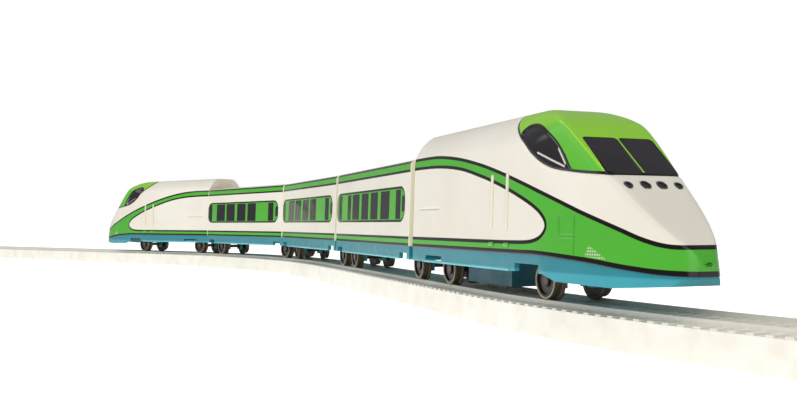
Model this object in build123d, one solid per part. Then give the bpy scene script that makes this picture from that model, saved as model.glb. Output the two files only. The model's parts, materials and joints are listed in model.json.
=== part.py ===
from build123d import *
import os
from math import atan2, cos, degrees, hypot, pi, radians, sin, tan

# Toy electric train: five cars on six sections of plastic track.
# World frame: origin on the underside of the middle straight, at its centre. +X is the way the
# train runs, +Y is its left, +Z is up. Each car is built in its own frame first: x runs from the
# seam with its neighbour, y is left, z = 0 is the rail top that its wheels run on.

# ---------------------------------------------------------------- track (mm)
STRAIGHT_LEN = 200.0
HALF_STRAIGHT_LEN = 100.0
CURVE_RADIUS = 400.0
CURVE_DEG = 36.0
BED_HALF = 15.6
BED_TOP = 8.0
BED_WALL = 1.6
BED_PLATE = 1.8
RAIL_DATUM = 9.8
RAIL_GAP = 0.15
RAIL_IN = 8.3
RAIL_OUT = 9.9
END_WALL = 2.4
MID_RIB = 4.0
TIE_PITCH = 4.2
TIE_WIDTH = 1.9
TIE_HIGH = 0.45
TIE_MARGIN = 0.3
CLIP_SIZE = (26.0, 10.0, 2.2)
CLIP_Z = 4.6
CLIP_FIT = 0.15

# ---------------------------------------------------------------- running gear
TREAD_R = 5.3
FLANGE_R = 6.3
WHEEL_IN = 6.7
FLANGE_W = 0.8
WHEEL_OUT = 9.9
HUB_R = 1.9
WEB_R = 4.2
WEB_RECESS = 0.6
AXLE_R = 1.0
AXLE_FIT = 0.05
AXLE_Z = TREAD_R + RAIL_GAP
BEARING_Y = 5.0
BEARING_T = 1.8
BEARING_LEN = 6.0
BEARING_LOW = 3.2
AXLE_SLOT = 1.7
TYRE_R = 5.3
TYRE_DEPTH = 0.5
TYRE_W = 1.4

# ---------------------------------------------------------------- car bodies
SEAM_GAP = 5.0
COACH_PITCH = 113.9
COACH_AXLE = 11.2
POWER_REAR_AXLE = 20.2
POWER_FRONT_AXLE = 87.1
SEAM_AT = 55.5
END_X = SEAM_GAP / 2
WALL = 1.5
PART_Z = 13.2
FLOOR_T = 1.2
FLOOR_LOW = PART_Z - FLOOR_T
SKIRT_Z = 8.0
SKIRT_INSET = 0.3
SKIRT_WALL = 1.6
NOTCH_Z = 10.4
FOOT_HALF = 17.65
SHOULDER_HALF = 16.1
SHOULDER_Z = 45.0
POWER_SHOULDER_MID = (12.7, 51.1)
POWER_ROOF_EDGE = (7.8, 55.2)
POWER_CROWN = 56.0
COACH_SHOULDER_MID = (15.3, 46.1)
COACH_ROOF_EDGE = (13.2, 46.7)
COACH_CROWN = 47.8

# nose of a power car, in its side view (x, z) and its plan (x, y)
NOSE_TIP = 143.5
SCREEN_X = 108.5
SCREEN_Z = 45.0
SCREEN_SLOPE = 0.86
BROW_Z = 56.3
BROW_R = 32.0
TIP_R = 6.0
CHIN_R = 2.5
CHIN_Z = 10.4
CHIN = (139.5, 7.0)
BELLY = [(125.0, 5.9), (104.0, 6.3), (97.5, 8.0)]
PLAN_LOW_Z = 0.0
PLAN_HIGH_Z = 60.0
PLAN_LOW = (95.0, 50.5, 17.9)
PLAN_HIGH = (55.0, 82.5, 15.7)
PARTING = [(95.0, 13.2), (115.0, 12.1), (128.0, 10.7), (138.0, 9.8), (150.0, 9.5)]
HOOD_EDGE = [(69.5, 57.0), (75.8, 51.3), (84.9, 45.2), (94.4, 38.9), (106.9, 35.6), (122.0, 33.2)]
SIDE_WINDOW = [(83.3, 48.4), (85.4, 50.0), (90.5, 49.4), (96.2, 47.2), (101.0, 43.4), (104.4, 39.4),
               (105.0, 37.4), (100.5, 38.2), (94.8, 40.2), (88.9, 43.8), (85.2, 46.3)]
PANE_HALF = 11.0
PANE_BAR = 1.0
PANE_LEN = 15.2
PANE_T = 1.1
PANE_AT = 114.3
LAMP_AT = 124.0
LAMPS = [(2.5, 1.15), (7.7, 0.85)]
LAMP_T = 1.3
RAIL_RIBS = (67.2, 76.9)
RIB_Z = (20.0, 37.0)
RIB_W = 1.3
STEP_Z = 15.6
STEP_SIZE = (3.2, 1.2)
PROUD = 0.5

# ---------------------------------------------------------------- coach windows
BAND_Z = (23.7, 35.5)
LEAD_PANES = [(8.8, 12.8), (22.4, 28.4), (30.8, 42.3), (45.7, 56.5), (59.7, 70.3), (74.1, 86.2), (94.2, 100.2)]
OTHER_PANES = [(17.0, 30.2), (32.5, 45.2), (48.6, 61.2), (63.8, 75.6), (92.4, 99.3)]
GLAZING_T = 0.8
GLAZING_Z = (20.6, 38.6)
GLAZING_FIT = 0.05
GLAZING_END = 4.5
PANE_SUNK = 0.1

# ---------------------------------------------------------------- couplers and screws
PIVOT_IN = 5.0
PEG_IN = 4.5
PIVOT_R = 1.1
PEG_R = 0.8
BAR_Z = (8.2, 9.6)
BAR_GAP = 0.3
BAR_HALF = 1.5
EYE_R = 2.6
LOOP_HALF = (3.0, 3.3)
LOOP_HOLE = (2.0, 2.2)
BAR_NOTCH = 6.0
POST_R = 2.1
POST_Y = 12.4
POST_IN = 5.8
POST_TOP = 24.0
SCREW_R = 0.8
SCREW_HEAD = (1.6, 1.0)
SCREW_LEN = 8.0
NOSE_SCREW_X = 118.0
NOSE_SCREW_Z = 10.4

# ---------------------------------------------------------------- drive of the head car
MODULE = 0.5
AXLE_TEETH = 20
SMALL_TEETH = 12
LARGE_TEETH = 24
PINION_TEETH = 8
COMPOUND_DEG = 35.0
PINION_DEG = 80.0
NARROW_GEAR = (-1.5, 1.5)
WIDE_GEAR = (1.8, 3.8)
PINION_Y = (1.6, 4.0)
GEAR_SHAFT_R = 0.8
MOTOR_SHAFT_R = 0.75
MOTOR = (12.0, 13.2, 8.8)
MOTOR_TAB = 1.5
FRAME_Y = ((-3.6, -2.4), (4.5, 5.7))
FRAME_X = (16.5, 31.0)
FRAME_LOW = 2.2
FRAME_BAR = (26.6, 30.6, 0.9)
GEAR_SLOT = (19.6, 33.7, -2.0, 4.3)
BOX_X = (34.0, 65.0)
BOX_HALF = 8.6
BOX_LOW = 2.0
BOX_WALL = 1.2
KNOB_X = (37.0, 51.0)
KNOB_Z = (0.5, 1.7)
KNOB_HALF = 3.0
KNOB_STEM = (41.0, 47.0, 1.8)
KNOB_TRAVEL = 4.0
KNOB_RIBS = 7
SWITCH_X = (37.0, 56.0)
SWITCH_Z = (4.3, 8.8)
SWITCH_HALF = 4.0
CELL_R = 7.1
CELL_LEN = 50.0
CELL_X = 41.0
CELL_Y = 7.3
TRAY_T = 0.8
TRAY_HALF = 14.6
TRAY_HIGH = 12.0
CELL_GAP = 0.2


# ---------------------------------------------------------------- helpers
def box(x0, x1, y0, y1, z0, z1):
    """Axis-aligned block between two corners."""
    size = (x1 - x0, y1 - y0, z1 - z0)
    return Pos((x0 + x1) / 2, (y0 + y1) / 2, (z0 + z1) / 2) * Box(*size)


def rod_y(x, z, radius, y0, y1):
    """Cylinder along Y."""
    middle = Pos(x, (y0 + y1) / 2, z) * Rot(90, 0, 0)
    return middle * Cylinder(radius, y1 - y0)


def rod_z(x, y, radius, z0, z1):
    """Cylinder along Z."""
    return Pos(x, y, (z0 + z1) / 2) * Cylinder(radius, z1 - z0)


def prism_y(edges, half=25.0):
    """Closed outline drawn at y = -half, extruded across the car."""
    return extrude(Face(Wire(edges)), amount=2 * half, dir=(0, 1, 0))


def side_points(points, half=25.0):
    return [(x, -half, z) for x, z in points]


def both_sides(part):
    return [part, mirror(part, about=Plane.XZ)]


def as_group(parts):
    return Compound(children=[solid for part in parts for solid in part.solids()])


# ---------------------------------------------------------------- path of the track
def path_point(u):
    """Position (x, y) and heading in radians at distance u from the middle of the middle straight."""
    half = STRAIGHT_LEN / 2
    if u > half:
        turn = (u - half) / CURVE_RADIUS
        return half + CURVE_RADIUS * sin(turn), CURVE_RADIUS * (1 - cos(turn)), turn
    if u >= -half:
        return u, 0.0, 0.0
    turn = min((-half - u) / CURVE_RADIUS, radians(CURVE_DEG))
    past = (-half - u) - turn * CURVE_RADIUS
    x = -half - CURVE_RADIUS * sin(turn) - past * cos(turn)
    y = -CURVE_RADIUS * (1 - cos(turn)) - past * sin(turn)
    return x, y, turn


def car_frame(front_u, rear_u, front_x, rear_x):
    """Location of a car whose two axles, at front_x and rear_x in its frame, stand on the path."""
    fx, fy, _ = path_point(front_u)
    rx, ry, _ = path_point(rear_u)
    heading = atan2(fy - ry, fx - rx)
    middle = (front_x + rear_x) / 2
    x = (fx + rx) / 2 - middle * cos(heading)
    y = (fy + ry) / 2 - middle * sin(heading)
    return Location((x, y, RAIL_DATUM), (0, 0, degrees(heading)))


def car_frames():
    """Locations of the five cars: the head, three coaches from front to rear, and the tail."""
    head_seam = SEAM_AT
    frames = {"head": car_frame(head_seam + POWER_FRONT_AXLE, head_seam + POWER_REAR_AXLE,
                                POWER_FRONT_AXLE, POWER_REAR_AXLE)}
    for number in (1, 2, 3):
        seam = head_seam - number * COACH_PITCH
        front = seam + COACH_PITCH - COACH_AXLE
        rear = seam + COACH_AXLE
        frames[f"coach_{number}"] = car_frame(front, rear, COACH_PITCH - COACH_AXLE, COACH_AXLE)
    tail_seam = head_seam - 3 * COACH_PITCH
    frames["tail"] = car_frame(tail_seam - POWER_FRONT_AXLE, tail_seam - POWER_REAR_AXLE,
                               POWER_FRONT_AXLE, POWER_REAR_AXLE)
    return frames


# ---------------------------------------------------------------- track sections
def bed_face():
    """Bed section with its two rails, hollow underneath, drawn in the YZ plane at x = 0."""
    rail_top = RAIL_DATUM - RAIL_GAP
    inner = BED_HALF - BED_WALL
    ceiling = BED_TOP - BED_PLATE
    points = [(-BED_HALF, 0), (-BED_HALF, BED_TOP),
              (-RAIL_OUT, BED_TOP), (-RAIL_OUT, rail_top), (-RAIL_IN, rail_top), (-RAIL_IN, BED_TOP),
              (RAIL_IN, BED_TOP), (RAIL_IN, rail_top), (RAIL_OUT, rail_top), (RAIL_OUT, BED_TOP),
              (BED_HALF, BED_TOP), (BED_HALF, 0), (inner, 0), (inner, ceiling),
              (-inner, ceiling), (-inner, 0)]
    return Face(Wire(Polyline([(0, y, z) for y, z in points], close=True).edges()))


def rib_face():
    """Cross rib that fills the hollow of the bed."""
    inner = BED_HALF - BED_WALL
    ceiling = BED_TOP - BED_PLATE
    points = [(-inner, 0), (-inner, ceiling), (inner, ceiling), (inner, 0)]
    return Face(Wire(Polyline([(0, y, z) for y, z in points], close=True).edges()))


def tie():
    """One sleeper, centred on x = 0."""
    half = BED_HALF - TIE_MARGIN
    return box(-TIE_WIDTH / 2, TIE_WIDTH / 2, -half, half, BED_TOP, BED_TOP + TIE_HIGH)


def clip_hole(x):
    length, width, high = CLIP_SIZE
    reach = length / 2
    half = width / 2 + CLIP_FIT
    return box(x - reach, x + reach, -half, half, CLIP_Z - high / 2 - CLIP_FIT, CLIP_Z + high / 2 + CLIP_FIT)


def straight_section(length):
    """Straight bed from x = 0 to x = length."""
    bed = extrude(bed_face(), amount=length, dir=(1, 0, 0))
    ribs = [Pos(x, 0, 0) * extrude(rib_face(), amount=wide, dir=(1, 0, 0))
            for x, wide in ((0, END_WALL), (length - END_WALL, END_WALL), ((length - MID_RIB) / 2, MID_RIB))]
    count = int(length / TIE_PITCH)
    first = (length - (count - 1) * TIE_PITCH) / 2
    ties = [Pos(first + i * TIE_PITCH, 0, 0) * tie() for i in range(count)]
    bed = bed.fuse(*ribs, *ties)
    return bed.cut(clip_hole(0), clip_hole(length))


def curve_section(side):
    """Curved bed that starts at x = 0 along +X and turns left (side 1) or right (side -1)."""
    centre = Axis((0, side * CURVE_RADIUS, 0), (0, 0, side))
    bed = revolve(bed_face(), axis=centre, revolution_arc=CURVE_DEG)
    wall_deg = degrees(END_WALL / CURVE_RADIUS)
    rib_deg = degrees(MID_RIB / CURVE_RADIUS)
    ribs = [turned(revolve(rib_face(), axis=centre, revolution_arc=wide), side, start)
            for start, wide in ((0, wall_deg), (CURVE_DEG - wall_deg, wall_deg),
                                ((CURVE_DEG - rib_deg) / 2, rib_deg))]
    count = int(radians(CURVE_DEG) * CURVE_RADIUS / TIE_PITCH)
    step = CURVE_DEG / count
    ties = [turned(tie(), side, (i + 0.5) * step) for i in range(count)]
    bed = bed.fuse(*ribs, *ties)
    return bed.cut(clip_hole(0), turned(clip_hole(0), side, CURVE_DEG))


def turned(part, side, angle):
    """Part moved along the curve by an angle in degrees."""
    return part.rotate(Axis((0, side * CURVE_RADIUS, 0), (0, 0, side)), angle)


def at_path(u):
    x, y, heading = path_point(u)
    return Location((x, y, 0), (0, 0, degrees(heading)))


def build_track():
    half = STRAIGHT_LEN / 2
    arc = radians(CURVE_DEG) * CURVE_RADIUS
    rear_end = -half - arc
    straight = straight_section(STRAIGHT_LEN)
    starts = {
        "track_middle_straight": (straight, -half),
        "track_front_curve": (curve_section(1), half),
        "track_rear_curve": (curve_section(-1), rear_end),
        "track_rear_straight": (straight, rear_end - STRAIGHT_LEN),
        "track_half_straight": (straight_section(HALF_STRAIGHT_LEN),
                                rear_end - STRAIGHT_LEN - HALF_STRAIGHT_LEN),
    }
    nodes = {name: at_path(u) * part for name, (part, u) in starts.items()}
    length, width, high = CLIP_SIZE
    clip = Pos(0, 0, CLIP_Z) * Box(length - 2 * CLIP_FIT, width, high)
    joints = (half, -half, rear_end, rear_end - STRAIGHT_LEN)
    nodes["track_clips"] = as_group([at_path(u) * clip for u in joints])
    return nodes


# ---------------------------------------------------------------- car outer shapes
def section_edges(inset, shoulder_mid, roof_edge, crown, low=-6.0):
    """Cross-section outline in the YZ plane, moved inwards by inset."""
    slope = (FOOT_HALF - SHOULDER_HALF) / SHOULDER_Z
    foot = FOOT_HALF - slope * low - inset
    side = SHOULDER_HALF - inset
    top = SHOULDER_Z - 0.3 * inset
    mid = (shoulder_mid[0] - 0.75 * inset, shoulder_mid[1] - 0.67 * inset)
    edge = (roof_edge[0] - 0.5 * inset, roof_edge[1] - 0.95 * inset)
    return [
        Line((0, -foot, low), (0, foot, low)),
        Line((0, foot, low), (0, side, top)),
        ThreePointArc((0, side, top), (0, mid[0], mid[1]), (0, edge[0], edge[1])),
        ThreePointArc((0, edge[0], edge[1]), (0, 0, crown - inset), (0, -edge[0], edge[1])),
        ThreePointArc((0, -edge[0], edge[1]), (0, -mid[0], mid[1]), (0, -side, top)),
        Line((0, -side, top), (0, -foot, low)),
    ]


def power_section(inset, length):
    edges = section_edges(inset, POWER_SHOULDER_MID, POWER_ROOF_EDGE, POWER_CROWN)
    return extrude(Face(Wire(edges)), amount=length, dir=(1, 0, 0))


def coach_body(inset, start, length, low, high):
    """Coach cross-section extruded along X and cropped in height."""
    edges = section_edges(inset, COACH_SHOULDER_MID, COACH_ROOF_EDGE, COACH_CROWN)
    body = Pos(start, 0, 0) * extrude(Face(Wire(edges)), amount=length, dir=(1, 0, 0))
    half = FOOT_HALF + 2
    return body & box(start - 1, start + length + 1, -half, half, low, high)


def screen_height(x, inset=0.0):
    """Height of the windscreen and bonnet plane at x, moved inwards by inset."""
    return SCREEN_Z - SCREEN_SLOPE * (x - SCREEN_X) - inset * hypot(1, SCREEN_SLOPE)


def screen_reach(z, inset=0.0):
    """Distance x at which the windscreen plane has height z."""
    return SCREEN_X + (SCREEN_Z - z - inset * hypot(1, SCREEN_SLOPE)) / SCREEN_SLOPE


def nose_profile(start, inset, open_bottom):
    """Side view of a power car, extruded across it."""
    tip = NOSE_TIP - inset
    brow = BROW_Z - inset
    top = FilletPolyline(
        *side_points([(start, brow), (screen_reach(brow, inset), brow), (tip, screen_height(tip, inset)),
                      (tip, CHIN_Z), (CHIN[0] - inset, CHIN[1])]),
        radius=[BROW_R, TIP_R - inset, CHIN_R])
    if open_bottom:
        under = [(CHIN[0] - inset, CHIN[1]), (CHIN[0] - inset, -5.0), (start, -5.0), (start, brow)]
    else:
        under = [(CHIN[0] - inset, CHIN[1])] + BELLY + [(start, SKIRT_Z), (start, brow)]
    return prism_y(top.edges() + Polyline(side_points(under)).edges())


def plan_wire(start, centre, length, half, z):
    """Plan outline: straight sides that end in half an ellipse."""
    return Wire([
        Line((start, -half, z), (centre, -half, z)),
        Pos(centre, 0, z) * EllipticalCenterArc((0, 0), length, half, start_angle=-90, arc_size=180),
        Line((centre, half, z), (start, half, z)),
        Line((start, half, z), (start, -half, z)),
    ])


def nose_plan(start, inset):
    wires = []
    for (centre, length, half), z in ((PLAN_LOW, PLAN_LOW_Z), (PLAN_HIGH, PLAN_HIGH_Z)):
        wires.append(plan_wire(start, centre, length - inset, half - inset, z))
    return Solid.make_loft(wires, ruled=True)


def power_body(inset, start, open_bottom=False):
    """Whole outer form of a power car, moved inwards by inset, from x = start to the nose."""
    body = Pos(start, 0, 0) * power_section(inset, NOSE_TIP)
    return body & nose_profile(start, inset, open_bottom) & nose_plan(start, inset)


def parting_region(above, drop=0.0):
    """Space above or below the line where body shell and chassis meet."""
    knots = [(x, z - drop) for x, z in PARTING]
    start = (-2.0, PART_Z - drop)
    far = knots[-1][0]
    limit = 70.0 if above else -10.0
    curve = Spline(*side_points(knots), tangents=[(1, 0, 0), (1, 0, 0)])
    rest = Polyline(side_points([knots[-1], (far, limit), (-2.0, limit), start, knots[0]]))
    return prism_y(curve.edges() + rest.edges())


def hood_region():
    """Space in front of and above the back and lower edge of the cab hood."""
    edge = Spline(*side_points(HOOD_EDGE))
    far = HOOD_EDGE[-1]
    normal = (far[0] + 30 * SCREEN_SLOPE, far[1] + 30)
    rest = Polyline(side_points([far, normal, (normal[0], 80), (HOOD_EDGE[0][0], 80), HOOD_EDGE[0]]))
    return prism_y(edge.edges() + rest.edges())


def screen_plane(x, depth=0.0):
    """Plane on the windscreen slope at x, its normal pointing out."""
    angle = degrees(atan2(SCREEN_SLOPE, 1))
    away = hypot(1, SCREEN_SLOPE)
    centre = (x - depth * SCREEN_SLOPE / away, 0, screen_height(x) - depth / away)
    normal = (sin(radians(angle)), 0, cos(radians(angle)))
    return Plane(origin=centre, x_dir=(0, 1, 0), z_dir=normal)


def pane_solids(grow, depth, thick):
    width = PANE_HALF - PANE_BAR / 2
    shape = RectangleRounded(width + 2 * grow, PANE_LEN + 2 * grow, 1.0)
    middle = (PANE_HALF + PANE_BAR / 2) / 2
    plane = screen_plane(PANE_AT, depth)
    return [extrude(plane * Pos(side * middle, 0) * shape, amount=-thick) for side in (-1, 1)]


def lamp_solids(grow, depth, thick):
    plane = screen_plane(LAMP_AT, depth)
    return [extrude(plane * Pos(side * y, 0) * Circle(radius + grow), amount=-thick)
            for y, radius in LAMPS for side in (-1, 1)]


def side_window_region():
    loop = Spline(*side_points(SIDE_WINDOW), periodic=True)
    face = Face(Wire(loop.edges()))
    return extrude(face, amount=50.0, dir=(0, 1, 0))


# ---------------------------------------------------------------- power car
def handrails():
    """Two moulded handrails and two steps on each side of the driver's door."""
    lean = degrees(atan2(FOOT_HALF - SHOULDER_HALF, SHOULDER_Z))
    pieces = []
    for x in RAIL_RIBS:
        middle = sum(RIB_Z) / 2
        face_y = FOOT_HALF - (FOOT_HALF - SHOULDER_HALF) * middle / SHOULDER_Z
        rib = Pos(x, face_y, middle) * Rot(lean, 0, 0) * Box(RIB_W, 2 * PROUD, RIB_Z[1] - RIB_Z[0])
        step_y = FOOT_HALF - (FOOT_HALF - SHOULDER_HALF) * STEP_Z / SHOULDER_Z
        step = Pos(x, step_y, STEP_Z) * Box(STEP_SIZE[0], 2 * PROUD, STEP_SIZE[1])
        pieces += both_sides(rib) + both_sides(step)
    return pieces


def screw(x, y, floor_low):
    head_r, head_h = SCREW_HEAD
    head = rod_z(x, y, head_r, floor_low - head_h, floor_low)
    shank = rod_z(x, y, SCREW_R, floor_low, floor_low + SCREW_LEN)
    slot = box(x - head_r, x + head_r, y - 0.2, y + 0.2, floor_low - head_h, floor_low - head_h + 0.4)
    return (head + shank) - slot


def power_shell_parts():
    """Body shell, hood, windscreen, side windows and lamps of a power car."""
    outer = power_body(0.0, END_X)
    inner = power_body(WALL, END_X + WALL, open_bottom=True)
    posts = [rod_z(END_X + POST_IN - 2.3, side * POST_Y, POST_R, PART_Z, POST_TOP) for side in (-1, 1)]
    posts.append(rod_z(NOSE_SCREW_X, 0, POST_R, NOSE_SCREW_Z, screen_height(NOSE_SCREW_X) - WALL))
    above = parting_region(above=True)
    whole = ((outer - inner) + handrails()).fuse(*posts) & above
    holes = [rod_z(END_X + POST_IN - 2.3, side * POST_Y, SCREW_R, 0, PART_Z + SCREW_LEN) for side in (-1, 1)]
    holes.append(rod_z(NOSE_SCREW_X, 0, SCREW_R, 0, NOSE_SCREW_Z + SCREW_LEN))
    whole = whole.cut(*holes)
    region = hood_region()
    window_space = side_window_region()
    hood_full = whole & region
    hood = hood_full.cut(window_space, *pane_solids(0.0, -1.0, 6.0))
    windows = (hood_full & window_space)
    shell = whole.cut(region, *lamp_solids(0.0, -1.0, 6.0))
    return {
        "shell": shell,
        "cab_hood": hood,
        "windscreen": as_group(pane_solids(-GLAZING_FIT, PANE_SUNK, PANE_T)),
        "side_windows": as_group([windows]),
        "lamps": as_group(lamp_solids(-GLAZING_FIT, PANE_SUNK, LAMP_T)),
    }


def bearing_blocks(x):
    """Two hanging blocks that an axle snaps into from below."""
    blocks = []
    for side in (-1, 1):
        y0 = side * BEARING_Y - BEARING_T / 2
        y1 = side * BEARING_Y + BEARING_T / 2
        block = box(x - BEARING_LEN / 2, x + BEARING_LEN / 2, y0, y1, BEARING_LOW, FLOOR_LOW + 0.2)
        bore = rod_y(x, AXLE_Z, AXLE_R + AXLE_FIT, y0 - 1, y1 + 1)
        mouth = box(x - AXLE_SLOT / 2, x + AXLE_SLOT / 2, y0 - 1, y1 + 1, 0, AXLE_Z)
        blocks.append(block.cut(bore, mouth))
    return blocks


def pivot_boss(x):
    """Stepped pin that a drawbar turns on, with its retaining head."""
    low, high = BAR_Z
    collar = rod_z(x, 0, PIVOT_R + 1.1, high + BAR_GAP, FLOOR_LOW + 0.2)
    pin = rod_z(x, 0, PIVOT_R, low - BAR_GAP, high + BAR_GAP)
    head = rod_z(x, 0, PIVOT_R + 0.9, low - BAR_GAP - 0.5, low - BAR_GAP)
    return collar + pin + head


def hook_peg(x):
    return rod_z(x, 0, PEG_R, BAR_Z[0] - 0.6, FLOOR_LOW + 0.2)


def end_notch(x):
    """Opening in a chassis end wall for the drawbar."""
    return box(x - 3, x + 3, -BAR_NOTCH, BAR_NOTCH, 0, NOTCH_Z + 0.2)


def power_chassis(coupler, drive):
    """Chassis pan of a power car: floor, skirts, axle blocks and the coupler part."""
    outer = power_body(SKIRT_INSET, END_X) & parting_region(above=False)
    inner = power_body(SKIRT_INSET + SKIRT_WALL, END_X + SKIRT_WALL, open_bottom=True)
    hollow = inner & parting_region(above=False, drop=FLOOR_T)
    pan = outer - hollow
    notches = []
    for x0, x1 in ((15.0, 29.0), (82.0, 95.5)):
        notches += both_sides(box(x0, x1, BAR_NOTCH + 5, 20, 0, NOTCH_Z))
    pan = pan.cut(end_notch(END_X), *notches)
    blocks = bearing_blocks(POWER_FRONT_AXLE)
    if not drive:
        blocks += bearing_blocks(POWER_REAR_AXLE)
    pan = pan.fuse(*blocks, coupler)
    cuts = [rod_z(END_X + POST_IN - 2.3, side * POST_Y, SCREW_R + 0.1, 0, 20) for side in (-1, 1)]
    cuts.append(rod_z(NOSE_SCREW_X, 0, SCREW_R + 0.1, 0, 20))
    if drive:
        x0, x1, y0, y1 = GEAR_SLOT
        cuts.append(box(x0, x1, y0, y1, FLOOR_LOW - 1, PART_Z + 1))
    return pan.cut(*cuts)


def power_screws():
    screws = [screw(END_X + POST_IN - 2.3, side * POST_Y, FLOOR_LOW) for side in (-1, 1)]
    screws.append(screw(NOSE_SCREW_X, 0, parting_floor(NOSE_SCREW_X)))
    return as_group(screws)


def parting_floor(x):
    """Underside of the chassis floor at x, between the knots of the parting line."""
    for (x0, z0), (x1, z1) in zip(PARTING, PARTING[1:]):
        if x0 <= x <= x1:
            return z0 + (z1 - z0) * (x - x0) / (x1 - x0) - FLOOR_T - 0.3
    return PART_Z - FLOOR_T


# ---------------------------------------------------------------- coach
def coach_shell(panes):
    length = COACH_PITCH - SEAM_GAP
    outer = coach_body(0.0, END_X, length, PART_Z, 60)
    inner = coach_body(WALL, END_X + WALL, length - 2 * WALL, 0, 60)
    shell = outer - inner
    posts = []
    holes = []
    for x in (END_X + POST_IN - 2.3, COACH_PITCH - END_X - POST_IN + 2.3):
        for side in (-1, 1):
            posts.append(rod_z(x, side * POST_Y, POST_R, PART_Z, POST_TOP))
            holes.append(rod_z(x, side * POST_Y, SCREW_R, 0, PART_Z + SCREW_LEN))
    half = FOOT_HALF + 2
    windows = [box(x0, x1, -half, half, *BAND_Z) for x0, x1 in panes]
    return shell.fuse(*posts).cut(*holes, *windows)


def coach_glazing(panes):
    """Clear strip on each side with a pad that fills each window opening."""
    length = COACH_PITCH - SEAM_GAP - 2 * WALL - 2 * GLAZING_END
    start = END_X + WALL + GLAZING_END
    low, high = GLAZING_Z
    depth = WALL + GLAZING_FIT
    strip = coach_body(depth, start, length, low, high) - coach_body(depth + GLAZING_T, start, length, low, high)
    band = (BAND_Z[0] + GLAZING_FIT, BAND_Z[1] - GLAZING_FIT)
    skin = coach_body(PANE_SUNK, start, length, *band) - coach_body(WALL + GLAZING_T / 2, start, length, *band)
    half = FOOT_HALF + 2
    pads = [skin & box(x0 + GLAZING_FIT, x1 - GLAZING_FIT, -half, half, *band) for x0, x1 in panes]
    return as_group([strip.fuse(*pads)])


def coach_chassis():
    length = COACH_PITCH - SEAM_GAP
    outer = coach_body(SKIRT_INSET, END_X, length, SKIRT_Z, PART_Z)
    hollow = coach_body(SKIRT_INSET + SKIRT_WALL, END_X + SKIRT_WALL, length - 2 * SKIRT_WALL, 0, FLOOR_LOW)
    far = COACH_PITCH - END_X
    notches = []
    for x0 in (5.5, COACH_PITCH - 5.5 - 8.5):
        notches += both_sides(box(x0, x0 + 8.5, BAR_NOTCH + 5, 20, 0, NOTCH_Z))
    pan = (outer - hollow).cut(end_notch(END_X), end_notch(far), *notches)
    blocks = bearing_blocks(COACH_AXLE) + bearing_blocks(COACH_PITCH - COACH_AXLE)
    pan = pan.fuse(*blocks, pivot_boss(PIVOT_IN), hook_peg(COACH_PITCH - PEG_IN))
    holes = [rod_z(x, side * POST_Y, SCREW_R + 0.1, 0, 20)
             for x in (END_X + POST_IN - 2.3, COACH_PITCH - END_X - POST_IN + 2.3) for side in (-1, 1)]
    return pan.cut(*holes)


def coach_screws():
    return as_group([screw(x, side * POST_Y, FLOOR_LOW)
                     for x in (END_X + POST_IN - 2.3, COACH_PITCH - END_X - POST_IN + 2.3)
                     for side in (-1, 1)])


# ---------------------------------------------------------------- wheels, couplers and drive
def wheel():
    """Flanged wheel with a dished outer face, at y from WHEEL_IN to WHEEL_OUT."""
    points = [(AXLE_R, WHEEL_IN), (FLANGE_R, WHEEL_IN), (FLANGE_R, WHEEL_IN + FLANGE_W * 0.6),
              (TREAD_R, WHEEL_IN + FLANGE_W), (TREAD_R, WHEEL_OUT), (WEB_R, WHEEL_OUT),
              (WEB_R, WHEEL_OUT - WEB_RECESS), (HUB_R, WHEEL_OUT - WEB_RECESS), (HUB_R, WHEEL_OUT),
              (AXLE_R, WHEEL_OUT)]
    outline = Face(Wire(Polyline([(r, y, 0) for r, y in points], close=True).edges()))
    return revolve(outline, axis=Axis.Y)


def wheelset(x):
    one = wheel()
    axle = rod_y(0, 0, AXLE_R, -WHEEL_OUT, WHEEL_OUT)
    return Pos(x, 0, AXLE_Z) * as_group([one, mirror(one, about=Plane.XZ), axle])


def gear(teeth, y0, y1, bore, first_deg):
    """Spur gear about Y. A tooth points first_deg above +X, turning towards +Z."""
    root = MODULE * (teeth / 2 - 1.2)
    tip = MODULE * (teeth / 2 + 0.8)
    pitch = MODULE * teeth / 2
    step = 2 * pi / teeth
    points = []
    for i in range(teeth):
        middle = radians(first_deg) + i * step
        for radius, share in ((root, -0.32), (pitch, -0.21), (tip, -0.09),
                              (tip, 0.09), (pitch, 0.21), (root, 0.32)):
            angle = middle + share * step
            points.append((radius * cos(angle), y0, radius * sin(angle)))
    outline = Face(Wire(Polyline(points, close=True).edges()))
    blank = extrude(outline, amount=y1 - y0, dir=(0, 1, 0))
    if bore:
        blank = blank - rod_y(0, 0, bore, y0 - 1, y1 + 1)
    return blank


def gear_centres():
    """Centres (x, z) of the axle gear, the compound gear and the motor pinion."""
    axle = (POWER_REAR_AXLE, AXLE_Z)
    first = MODULE * (AXLE_TEETH + SMALL_TEETH) / 2
    compound = (axle[0] + first * cos(radians(COMPOUND_DEG)), axle[1] + first * sin(radians(COMPOUND_DEG)))
    second = MODULE * (LARGE_TEETH + PINION_TEETH) / 2
    pinion = (compound[0] + second * cos(radians(PINION_DEG)), compound[1] + second * sin(radians(PINION_DEG)))
    return axle, compound, pinion


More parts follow.
